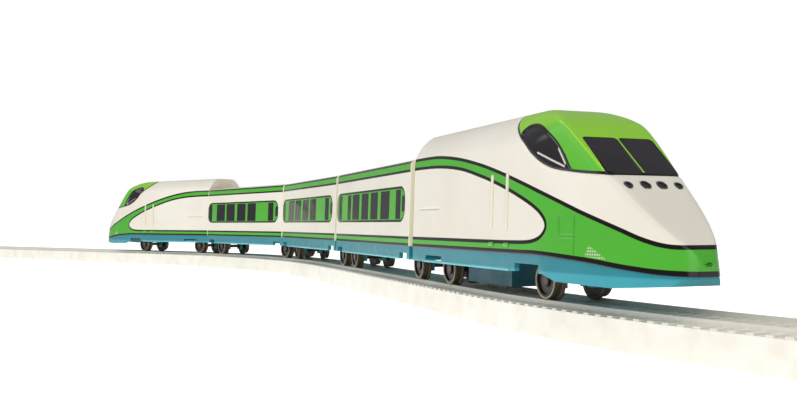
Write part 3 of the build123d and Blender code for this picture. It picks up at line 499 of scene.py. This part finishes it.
def within(points, ring):
    """True where a point lies inside a closed polyline."""
    x, z = points[:, 0], points[:, 1]
    odd = np.zeros(len(points), bool)
    for (x0, z0), (x1, z1) in zip(ring, np.roll(ring, -1, axis=0)):
        if z0 == z1:
            continue
        crosses = (z0 > z) != (z1 > z)
        odd ^= crosses & (x < (x1 - x0) * (z - z0) / (z1 - z0) + x0)
    return odd


def signed(points, ring):
    """Distance to a closed polyline, negative inside it."""
    closed = np.vstack([ring, ring[:1]])
    return distance_to(points, closed) * np.where(within(points, ring), -1.0, 1.0)


def segments_distance(points, segments):
    return np.min([distance_to(points, np.array(pair, float)) for pair in segments], axis=0)


# ---------------------------------------------------------------- power car body
def arc_through(a, b, c, count):
    """Points of the arc from a through b to c."""
    (ax, ay), (bx, by), (cx, cy) = a, b, c
    d = 2 * (ax * (by - cy) + bx * (cy - ay) + cx * (ay - by))
    ux = ((ax * ax + ay * ay) * (by - cy) + (bx * bx + by * by) * (cy - ay) + (cx * cx + cy * cy) * (ay - by)) / d
    uy = ((ax * ax + ay * ay) * (cx - bx) + (bx * bx + by * by) * (ax - cx) + (cx * cx + cy * cy) * (bx - ax)) / d
    start = atan2(ay - uy, ax - ux)
    sweep = (atan2(cy - uy, cx - ux) - start + pi) % (2 * pi) - pi
    radius = hypot(ax - ux, ay - uy)
    angles = start + sweep * np.linspace(0, 1, count)
    return np.column_stack([ux + radius * np.cos(angles), uy + radius * np.sin(angles)])


def half_section():
    """Half of the body's cross-section as (y, z), from below the sill to the crown."""
    side = np.column_stack([np.linspace(FOOT_HALF, SHOULDER_HALF, 120), np.linspace(0, SHOULDER_Z, 120)])
    shoulder = arc_through((SHOULDER_HALF, SHOULDER_Z), SHOULDER_MID, ROOF_EDGE, 50)
    roof = arc_through(ROOF_EDGE, (0, CROWN), (-ROOF_EDGE[0], ROOF_EDGE[1]), 61)[:31]
    return np.vstack([side, shoulder[1:], roof[1:]])


def top_height(x):
    """Height of the roof line, brow, windscreen, bonnet and nose tip at x."""
    slope = np.arctan(SCREEN_SLOPE)
    corner = SCREEN_X + (SCREEN_Z - BROW_Z) / SCREEN_SLOPE
    brow = corner - BROW_R * np.tan(slope / 2)
    brow_end = corner + BROW_R * np.tan(slope / 2) * np.cos(slope)
    if x <= brow:
        return BROW_Z
    if x <= brow_end:
        return BROW_Z - BROW_R + sqrt(BROW_R ** 2 - (x - brow) ** 2)
    tip_z = SCREEN_Z - SCREEN_SLOPE * (NOSE_TIP - SCREEN_X)
    reach = TIP_R * np.tan((pi / 2 - slope) / 2)
    if x <= NOSE_TIP - reach * np.cos(slope):
        return SCREEN_Z - SCREEN_SLOPE * (x - SCREEN_X)
    return tip_z - reach + sqrt(max(0.0, TIP_R ** 2 - (x - NOSE_TIP + TIP_R) ** 2))


def sill_height(x):
    line = smooth_curve(PARTING)
    return np.interp(x, line[:, 0], line[:, 1])


def body_row(x, section, columns):
    """Half cross-section at x as evenly spaced (y, z) points from the sill to the centre line."""
    y, z = section[:, 0].copy(), section[:, 1].copy()
    share = z / PLAN_HIGH_Z
    centre, length, half = (low + (high - low) * share for low, high in zip(PLAN_LOW, PLAN_HIGH))
    past = np.clip((x - centre) / length, 0, 1)
    plan = half * np.sqrt(1 - past ** 2)
    blend = np.clip(0.5 + 0.5 * (plan - y) / 0.8, 0, 1)
    y = plan + (y - plan) * blend - 0.8 * blend * (1 - blend)
    y = np.maximum(y, 0)
    low, high = float(sill_height(x)) - 0.15, top_height(x)
    keep = (z > low) & (z < high)
    first = [(np.interp(low, z, y), low)]
    rows = np.vstack([first, np.column_stack([y[keep], z[keep]])])
    if high < CROWN:
        rows = np.vstack([rows, [(np.interp(high, z, y), high)], [(0.0, high)]])
    steps = np.concatenate([[0], np.cumsum(np.hypot(*np.diff(rows, axis=0).T))])
    even = np.linspace(0, steps[-1], columns)
    return np.column_stack([np.interp(even, steps, rows[:, 0]), np.interp(even, steps, rows[:, 1])])


def blur(values, axis, sigma):
    """Gaussian blur along an axis, with odd padding so that the edges stay where they are."""
    reach = int(3 * sigma + 1)
    kernel = np.exp(-0.5 * (np.arange(-reach, reach + 1) / sigma) ** 2)
    kernel /= kernel.sum()
    values = np.moveaxis(values, axis, 0)
    before = 2 * values[0] - values[reach:0:-1]
    after = 2 * values[-1] - values[-2:-reach - 2:-1]
    padded = np.concatenate([before, values, after])
    out = sum(weight * padded[i:i + len(values)] for i, weight in enumerate(kernel))
    return np.moveaxis(out, 0, axis)


def body_grid(step):
    """Points of the whole outer body as an array [row along x, column round the section, xyz]."""
    section = half_section()
    straight = np.arange(END_X, 123.5, step)
    tip = NOSE_TIP - np.linspace(sqrt(20.0), 0.05, int(30 / step)) ** 2
    xs = np.concatenate([straight, tip])
    columns = int(60 / step)
    half = np.array([body_row(x, section, columns) for x in xs])
    soft = np.clip((xs - 107) / 18, 0, 1)[:, None, None]
    soft = soft * soft * (3 - 2 * soft)
    half = blur(half, 1, 1.2 / step) * (1 - soft) + blur(half, 1, 3.4 / step) * soft
    half[:, -1, 0] = 0
    left = np.concatenate([np.broadcast_to(xs[:, None, None], (len(xs), columns, 1)), half], axis=2)
    front = [left[-1] * np.array([1, share, 1]) for share in np.linspace(1, 0, 8)[1:]]
    left = np.concatenate([left, front])
    right = left[:, -2::-1] * np.array([1, -1, 1])
    return np.concatenate([left, right], axis=1)


def grid_normals(grid):
    along = np.gradient(grid, axis=0)
    around = np.gradient(grid, axis=1)
    normal = np.cross(around, along)
    return normal / np.maximum(np.linalg.norm(normal, axis=2, keepdims=True), 1e-9)


def body_distances(grid):
    """Signed distances, in mm, from each grid point to every printed or recessed shape."""
    flat = grid.reshape(-1, 3)
    side = flat[:, [0, 2]]
    border = smooth_curve(BORDER)
    above = flat[:, 2] > np.interp(flat[:, 0], border[:, 0], border[:, 1])
    hood_edge = smooth_curve(HOOD)
    hood_ring = np.vstack([hood_edge, [(123.5, 36.0), (175.0, 80.0), (60.0, 80.0)]])
    slope = (flat[:, 0] - PANE_AT) * hypot(1, SCREEN_SLOPE)
    beside = np.abs(flat[:, 1])
    out_y = np.abs(beside - PANE_Y[0]) - PANE_Y[1] + 0.8
    out_s = np.abs(slope) - PANE_LEN / 2 + 0.8
    pane = (np.hypot(np.maximum(out_y, 0), np.maximum(out_s, 0))
            + np.minimum(np.maximum(out_y, out_s), 0) - 0.8)
    lamp_slope = (flat[:, 0] - LAMP_AT) * hypot(1, SCREEN_SLOPE)
    lamp = np.min([np.hypot(beside - y, lamp_slope) - radius - 0.25 for y, radius in LAMPS], axis=0)
    top = flat[:, 2] > 25
    return {
        "border": distance_to(side, border) * np.where(above, 1, -1),
        "loop": signed(side, smooth_curve(LOOP, closed=True)),
        "base": flat[:, 2] - sill_height(flat[:, 0]),
        "hood": signed(side, hood_ring),
        "window": signed(side, smooth_curve(WINDOW, closed=True)),
        "gutter": segments_distance(side, GUTTERS),
        "panels": segments_distance(side, PANELS),
        "pane": np.where(top, pane, 9.0),
        "lamp": np.where(top, lamp, 9.0),
        "vent": signed(side, np.array(VENT)),
    }


def step_down(value, low, high):
    share = np.clip((value - low) / (high - low), 0, 1)
    return 1 - share * share * (3 - 2 * share)


def recess(grid, distance):
    """Sinks the seams, windows, lamp bowls and panel lines into the surface."""
    shape = grid.shape[:2]
    depth = 0.30 * step_down(distance["window"], -0.7, 0.1)
    depth = np.maximum(depth, 0.45 * step_down(distance["pane"], -0.5, 0.1))
    depth = np.maximum(depth, 0.6 * step_down(distance["lamp"], -0.3, 0.1))
    depth = np.maximum(depth, 0.22 * step_down(np.abs(distance["hood"]), 0.1, 0.55))
    depth = np.maximum(depth, 0.18 * step_down(distance["panels"], 0.05, 0.45))
    return grid - grid_normals(grid) * depth.reshape(*shape, 1)


def mesh_piece(name, points, faces, material, smooth=True):
    """Object from points in mm and faces, with its normals pointing out."""
    mesh = bpy.data.meshes.new(name)
    mesh.from_pydata((np.asarray(points, float) * MM).tolist(), [], [list(map(int, f)) for f in faces])
    mesh.validate()
    mesh.polygons.foreach_set("use_smooth", [smooth] * len(mesh.polygons))
    obj = bpy.data.objects.new(name, mesh)
    bpy.context.scene.collection.objects.link(obj)
    mesh.materials.append(material)
    return obj


def write_attributes(obj, values):
    for name, numbers in values.items():
        made = obj.data.attributes.new(name, "FLOAT", "POINT")
        made.data.foreach_set("value", np.asarray(numbers, np.float32))


def cut_faces(quads, level, keep_below):
    """Faces on one side of a level, cut along it: polygons, and new points as (from, to, share)."""
    side = level if keep_below else -level
    whole = (side[quads] < 0).all(axis=1)
    crossed = (side[quads] < 0).any(axis=1) & ~whole
    faces = [tuple(quad) for quad in quads[whole]]
    made = {}
    for quad in quads[crossed]:
        face = []
        for a, b in zip(quad, np.roll(quad, -1)):
            if side[a] < 0:
                face.append(a)
            if (side[a] < 0) != (side[b] < 0):
                key = (min(a, b), max(a, b))
                if key not in made:
                    made[key] = len(level) + len(made)
                face.append(made[key])
        if len(face) > 2:
            faces.append(tuple(face))
    cuts = [(a, b, level[a] / (level[a] - level[b])) for a, b in made]
    return faces, cuts


def body_piece(name, grid, distance, keep_below, material, names):
    """Piece made of the part of the grid on one side of the hood's edge, with doubled points merged and a wall."""
    rows, columns = grid.shape[:2]
    index = np.arange(rows * columns).reshape(rows, columns)
    quads = np.stack([index[:-1, :-1], index[:-1, 1:], index[1:, 1:], index[1:, :-1]], axis=2).reshape(-1, 4)
    faces, cuts = cut_faces(quads, distance["hood"], keep_below)
    first, second, share = (np.array(column) for column in zip(*cuts))

    def extended(values):
        between = (1 - share) * values[first].T + share * values[second].T
        return np.concatenate([values, between.T])

    points = extended(grid.reshape(-1, 3))
    used = np.unique(np.concatenate([np.array(face) for face in faces]))
    renumber = np.zeros(len(points), int)
    renumber[used] = np.arange(len(used))
    obj = mesh_piece(name, points[used], [renumber[list(face)] for face in faces], material)
    write_attributes(obj, {key: extended(distance[key])[used] for key in names})
    work = bmesh.new()
    work.from_mesh(obj.data)
    bmesh.ops.remove_doubles(work, verts=work.verts, dist=0.002 * MM)
    bmesh.ops.dissolve_degenerate(work, edges=work.edges, dist=0.004 * MM)
    work.to_mesh(obj.data)
    work.free()
    wall = obj.modifiers.new("wall", "SOLIDIFY")
    wall.thickness = 0.5 * MM
    wall.offset = -1
    return obj


def end_cap(name, grid, material, x, inward):
    """Flat wall across the open end of a body, with a rounded rim."""
    rim = grid[:, [1, 2]]
    centre = np.array([0.0, rim[:, 1].mean()])
    rings = []
    for angle in np.linspace(0, pi / 2, 5):
        inset = 0.6 * (1 - cos(angle))
        shift = 0.6 * sin(angle)
        towards = centre - rim
        towards /= np.linalg.norm(towards, axis=1, keepdims=True)
        ring = rim + towards * inset
        rings.append(np.column_stack([np.full(len(ring), x + inward * (0.6 - shift)), ring]))
    count = len(rim)
    faces = []
    for r in range(len(rings) - 1):
        for i in range(count):
            j = (i + 1) % count
            faces.append((r * count + i, r * count + j, (r + 1) * count + j, (r + 1) * count + i))
    last = (len(rings) - 1) * count
    faces.append(tuple(range(last, last + count)))
    return mesh_piece(name, np.vstack(rings), faces, material)


def bar_piece(name, runs, radius, flat, material):
    """Rounded bars along straight runs, as one mesh. flat squeezes them towards the body side."""
    points, faces = [], []
    sides, caps = 12, 4
    for start, end in runs:
        a, b = np.array(start, float), np.array(end, float)
        along = (b - a) / np.linalg.norm(b - a)
        across = np.cross(along, (0, 1, 0))
        across /= np.linalg.norm(across)
        out = np.cross(along, across)
        stations = [(a + along * radius * (1 - cos(t)), sin(t)) for t in np.linspace(0, pi / 2, caps)]
        stations += [(b - along * radius * (1 - cos(t)), sin(t)) for t in np.linspace(pi / 2, 0, caps)]
        first = len(points)
        for centre, grow in stations:
            r = max(radius * grow, 0.02)
            for k in range(sides):
                angle = 2 * pi * k / sides
                points.append(centre + across * r * cos(angle) + out * r * flat * sin(angle))
        for ring in range(len(stations) - 1):
            for k in range(sides):
                n = (k + 1) % sides
                p, q = first + ring * sides, first + (ring + 1) * sides
                faces.append((p + k, p + n, q + n, q + k))
        faces.append(tuple(range(first, first + sides)))
        last = first + (len(stations) - 1) * sides
        faces.append(tuple(range(last + sides - 1, last - 1, -1)))
    return mesh_piece(name, points, faces, material)


def lamp_rings(name, material):
    """Rounded rings round the four lamps, on the bonnet's slope."""
    away = Vector((SCREEN_SLOPE, 0, 1)).normalized()
    along = Vector((1, 0, -SCREEN_SLOPE)).normalized()
    across = Vector((0, 1, 0))
    points, faces = [], []
    turns, sides = 40, 10
    for y, radius in LAMPS:
        for side in (-1, 1):
            centre = Vector((LAMP_AT, side * y, SCREEN_Z - SCREEN_SLOPE * (LAMP_AT - SCREEN_X)))
            first = len(points)
            for i in range(turns):
                angle = 2 * pi * i / turns
                out = across * cos(angle) + along * sin(angle)
                for k in range(sides):
                    turn = 2 * pi * k / sides
                    points.append(centre + out * (radius + 0.1 + 0.25 * cos(turn)) + away * 0.2 * sin(turn))
            for i in range(turns):
                for k in range(sides):
                    n, m = (i + 1) % turns, (k + 1) % sides
                    faces.append((first + i * sides + k, first + n * sides + k,
                                  first + n * sides + m, first + i * sides + m))
    return mesh_piece(name, points, faces, material)


def side_y(z):
    return FOOT_HALF - (FOOT_HALF - SHOULDER_HALF) * z / SHOULDER_Z


def build_power_car(car, step):
    """Body, hood, rear wall and handrails of a power car, in place of the CAD's shell and hood."""
    body = f"{car}_car"
    grid = body_grid(step)
    distance = body_distances(grid)
    grid = recess(grid, distance)
    print_names = ("border", "loop", "base", "panels", "vent", "lamp")
    shell = body_piece(f"{car}_body_shell", grid, distance, False, MATERIALS["power"], print_names)
    hood = body_piece(f"{car}_hood", grid, distance, True, MATERIALS["hood"],
                      ("hood", "window", "gutter", "pane"))
    wall = end_cap(f"{car}_end_wall", grid[0], MATERIALS["cream"], END_X, 1)
    rails = []
    steps = []
    for x in RAIL_AT:
        for side in (-1, 1):
            rails.append([(x, side * (side_y(z) + 0.05), z) for z in RAIL_Z])
            y = side * (side_y(STEP_Z) + 0.05)
            steps.append([(x - STEP_HALF, y, STEP_Z), (x + STEP_HALF, y, STEP_Z)])
    handrails = bar_piece(f"{car}_handrails", rails, 0.65, 0.65, MATERIALS["cream"])
    treads = bar_piece(f"{car}_steps", steps, 0.6, 0.7, MATERIALS["green"])
    rings = lamp_rings(f"{car}_lamp_rings", MATERIALS["inner"])
    for piece in (shell, hood, wall, handrails, treads, rings):
        place(piece, car, body)
    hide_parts(f"{car}_shell")
    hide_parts(f"{car}_cab_hood", f"{car}_side_windows")


# ---------------------------------------------------------------- materials
MATERIALS = {
    "power": power_paint("power_car_print"),
    "hood": hood_paint("hood_paint"),
    "cream": plastic("cream_plastic", "E6DFCB", rough=(0.26, 0.36), coat=0.2),
    "green": plastic("green_plastic", "4FAE33", rough=(0.26, 0.36), coat=0.2),
    "glass": smoke_glass("smoke_plastic"),
    "chassis": chassis_paint("chassis_plastic"),
    # pale teal: the chassis teal lightened as a painted highlight on the moulded ledge
    "ledge": plastic("ledge_highlight_plastic", "5CB4BD", rough=(0.28, 0.4)),
    "track": track_paint(),
    # dark teal: the equipment box's teal, darkened as painted shade under the car
    "box": plastic("box_plastic", "0A5560", rough=(0.45, 0.6)),
    "inner": plastic("inner_plastic", "2E2E31", rough=(0.4, 0.55)),
    "knob": plastic("knob_plastic", "9A9A98", rough=(0.35, 0.5)),
    "gear": plastic("gear_plastic", "E8E4D8", rough=(0.35, 0.5)),
    "steel": plastic("plated_steel", "B9B9BA", rough=(0.24, 0.38), metallic=1.0, grain=3200.0),
    "cell": plastic("cell_jacket", "3A3A40", rough=(0.25, 0.35), coat=0.3),
    "contact": plastic("contact_strip", "C9B37A", rough=(0.25, 0.4), metallic=1.0),
    "lamp": smoke_glass("lamp_lens"),
}
BY_ENDING = [
    ("windscreen", "glass"), ("glazing", "glass"), ("lamps", "lamp"), ("chassis", "chassis"),
    ("screws", "steel"), ("gearbox_frame", "inner"), ("compound_gear", "gear"), ("motor_pinion", "steel"),
    ("motor", "steel"), ("equipment_box", "box"), ("power_switch", "inner"), ("switch_knob", "knob"),
    ("battery_tray", "inner"), ("battery_cells", "cell"), ("battery_contacts", "contact"),
]


def dress(obj, material):
    if not obj.material_slots:
        obj.data.materials.append(material)
    for slot in obj.material_slots:
        slot.link = "OBJECT"
        slot.material = material


def wheel_matrix(name):
    """Frame of a wheelset about its own axle."""
    joint = next(j for j in frame["joints"] if j["child"] == name)
    axis = Vector(joint["axis"])
    heading = atan2(-axis.x, axis.y)
    return Matrix.Translation(Vector(joint["pos_m"])) @ Matrix.Rotation(heading, 4, "Z")


def dress_nodes():
    for name, obj in frame["nodes"].items():
        if name.startswith("track"):
            dress(obj, MATERIALS["track"])
        elif name.startswith("drawbar"):
            dress(obj, MATERIALS["inner"])
        elif name.endswith("wheelset"):
            dress(obj, wheel_paint(f"{name}_finish", wheel_matrix(name)))
        elif name.startswith("coach") and name.endswith("shell"):
            dress(obj, coach_paint(int(name[6])))
        else:
            for ending, key in BY_ENDING:
                if name.endswith(ending):
                    dress(obj, MATERIALS[key])
                    break
            else:
                dress(obj, MATERIALS["cream"])


# ---------------------------------------------------------------- ledges along the chassis pans
def build_ledges():
    """Moulded ledge along the lower edge of each chassis side, between its notches."""
    for car in CARS:
        kind = "coach" if car.startswith("coach") else "power"
        y = side_y(LEDGE_Z) - 0.25
        runs = [[(x, side * y, LEDGE_Z) for x in LEDGES[kind]] for side in (-1, 1)]
        # the ledge's pale teal is a painted highlight
        ledge = bar_piece(f"{car}_chassis_ledge", runs, 0.5, 0.9, MATERIALS["ledge"])
        place(ledge, car, car if kind == "coach" else f"{car}_car")


# ---------------------------------------------------------------- room
def build_camera():
    data = bpy.data.cameras.new("camera")
    data.sensor_width = 36.0
    data.lens = FOCAL * data.sensor_width
    data.clip_start = 0.005
    data.clip_end = 20
    camera = bpy.data.objects.new("camera", data)
    bpy.context.scene.collection.objects.link(camera)
    camera.location = Vector(CAMERA_AT) * MM
    look = Vector((-sin(CAMERA_YAW) * cos(CAMERA_TILT), cos(CAMERA_YAW) * cos(CAMERA_TILT), sin(CAMERA_TILT)))
    camera.rotation_euler = look.to_track_quat("-Z", "Y").to_euler()
    bpy.context.scene.camera = camera


def area_light(name, location, target, size, power, color=(1, 1, 1)):
    data = bpy.data.lights.new(name, "AREA")
    data.shape = "RECTANGLE"
    data.size, data.size_y = size
    data.energy = power
    data.color = color
    light = bpy.data.objects.new(name, data)
    bpy.context.scene.collection.objects.link(light)
    light.location = location
    light.rotation_euler = (Vector(target) - Vector(location)).to_track_quat("-Z", "Y").to_euler()


def build_room():
    area_light("top_soft", (0.05, -0.25, 0.9), (0.0, -0.02, 0.03), (1.3, 0.5), 4.3)
    area_light("front_soft", (0.95, -0.35, 0.42), (0.1, 0, 0.03), (0.5, 0.5), 1.9, (1.0, 0.985, 0.96))
    area_light("left_soft", (-0.5, -0.9, 0.5), (-0.15, 0, 0.03), (0.7, 0.4), 1.25, (1.0, 0.99, 0.97))
    world = bpy.data.worlds.new("room")
    bpy.context.scene.world = world
    world.use_nodes = True
    tree = world.node_tree
    seen = tree.nodes.new("ShaderNodeLightPath")
    level = tree.nodes.new("ShaderNodeMapRange")
    level.inputs["To Min"].default_value = 0.34
    level.inputs["To Max"].default_value = 1.0
    tree.links.new(seen.outputs["Is Camera Ray"], level.inputs["Value"])
    tree.links.new(level.outputs[0], tree.nodes["Background"].inputs["Strength"])
    tree.nodes["Background"].inputs["Color"].default_value = (1.0, 1.0, 1.0, 1.0)
    mesh = bpy.data.meshes.new("floor")
    mesh.from_pydata([(-6, -6, -0.0004), (6, -6, -0.0004), (6, 6, -0.0004), (-6, 6, -0.0004)], [], [(0, 1, 2, 3)])
    floor = bpy.data.objects.new("floor", mesh)
    bpy.context.scene.collection.objects.link(floor)
    paint = Paint("floor_card")
    color = paint.mix(paint.ramp(paint.noise(3.0), 0.3, 0.7, 0.0, 1.0), rgb("FFFFFF"), rgb("FCFCFB"))
    mesh.materials.append(paint.finish(color, 0.9, Specular_IOR_Level=0.1, Emission_Color=(1, 1, 1, 1),
                                       Emission_Strength=0.72))
    bpy.context.scene.view_settings.view_transform = "Standard"


# ---------------------------------------------------------------- build
build_camera()
build_room()
dress_nodes()
build_power_car("head", 0.42)
build_power_car("tail", 0.7)
build_ledges()
